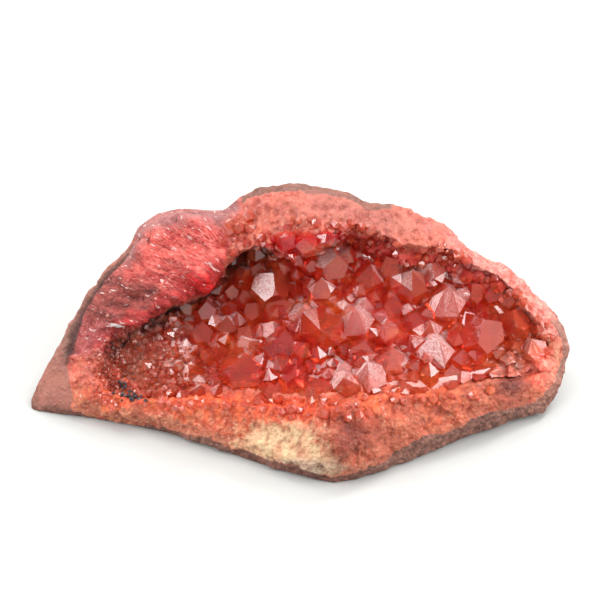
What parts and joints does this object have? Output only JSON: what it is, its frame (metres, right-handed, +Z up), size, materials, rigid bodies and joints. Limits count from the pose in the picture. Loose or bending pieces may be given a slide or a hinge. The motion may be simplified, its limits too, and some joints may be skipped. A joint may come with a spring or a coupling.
{
  "type": "red quartz crystal cluster on matrix",
  "caption": "Natural geode fragment: rough rock matrix with a broken fibrous lip over a hollow lined with glassy red quartz crystals, cut flat beneath.",
  "frame": {"origin": "middle of the specimen's length and depth, on its flat base", "axes": "+Z up; +X along the specimen's length, to the right as seen facing the hollow; -Y towards the side that the hollow faces"},
  "size_m": [0.1098, 0.0558, 0.0441],
  "materials": {
    "matrix": "rough broken rock and banded quartz, brown rind, red fibrous lip, orange to cream foot",
    "crystal_crust": "clear red quartz with bright flat faces"
  },
  "bodies": {
    "root": {"matrix": "matrix", "crystal_crust": "crystal_crust"}
  },
  "joints": []
}
